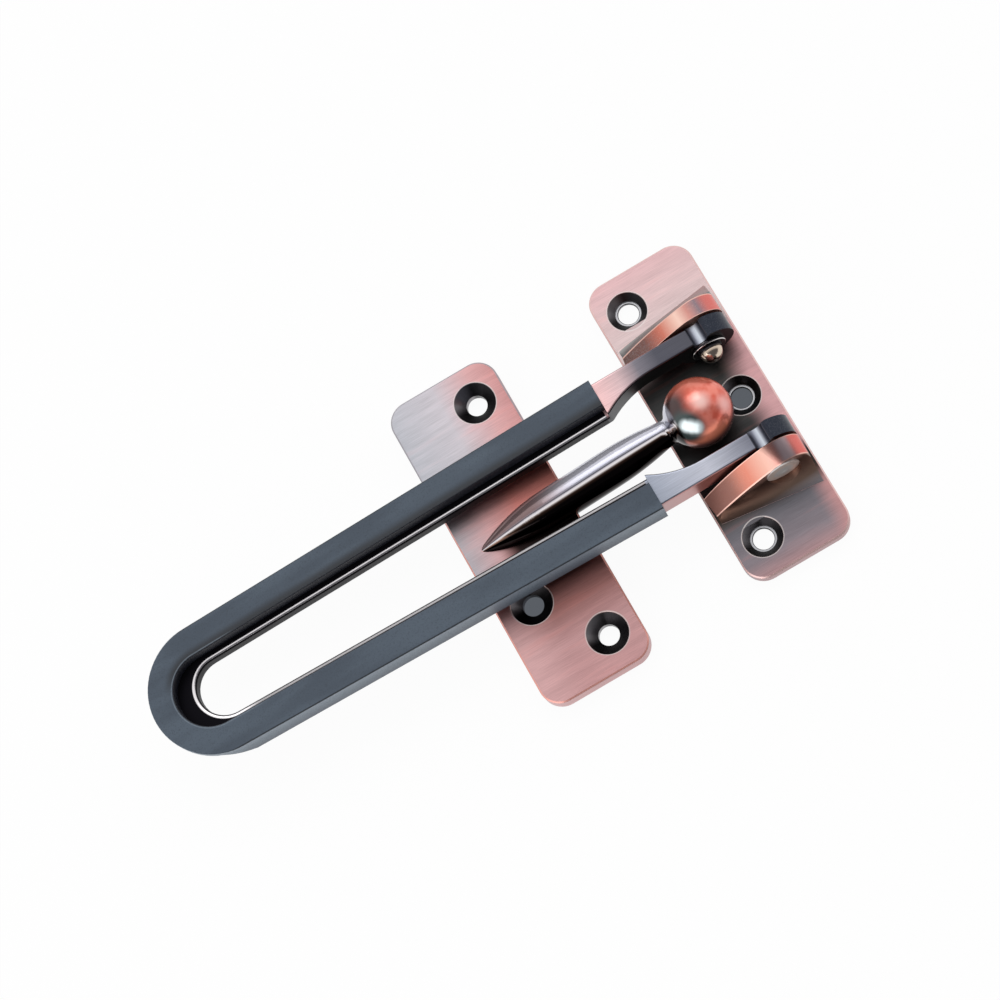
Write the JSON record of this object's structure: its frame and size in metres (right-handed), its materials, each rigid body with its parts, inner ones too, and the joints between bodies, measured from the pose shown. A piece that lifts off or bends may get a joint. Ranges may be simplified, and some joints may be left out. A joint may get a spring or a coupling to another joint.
{
  "type": "swing bar door guard",
  "caption": "Swing-bar door guard: a slotted bar hinged between two ears of a plate folds over a ball-ended keeper, so that a door opens only a little way.",
  "frame": {"origin": "middle of the hinge plate's back face", "axes": "+X along the bar towards its hinge, +Y along the hinge pins, +Z away from the door"},
  "size_m": [0.1575, 0.0815, 0.0197],
  "materials": {
    "antique_copper": "red antique copper, satin brushed, with rubbed edges",
    "polished_copper": "red antique copper, satin plate and polished stem and ball",
    "bar_metal": "pale copper, satin brushed",
    "sleeve": "matte slate grey",
    "bright_steel": "bright turned steel"
  },
  "bodies": {
    "mounted": {"hinge_plate": "antique_copper", "keeper": "polished_copper", "upper_hinge_pin": "bright_steel", "lower_hinge_pin": "bright_steel", "flat_washer": "bright_steel", "small_washer": "bright_steel"},
    "bar": {"swing_bar": "bar_metal", "bar_sleeve": "sleeve"}
  },
  "joints": [
    {"name": "bar_hinge", "type": "hinge", "parent": "mounted", "child": "bar", "pos_m": [0.0053, 0, 0.0098], "axis": [0, 1, 0], "range_deg": [-2, 180]}
  ]
}
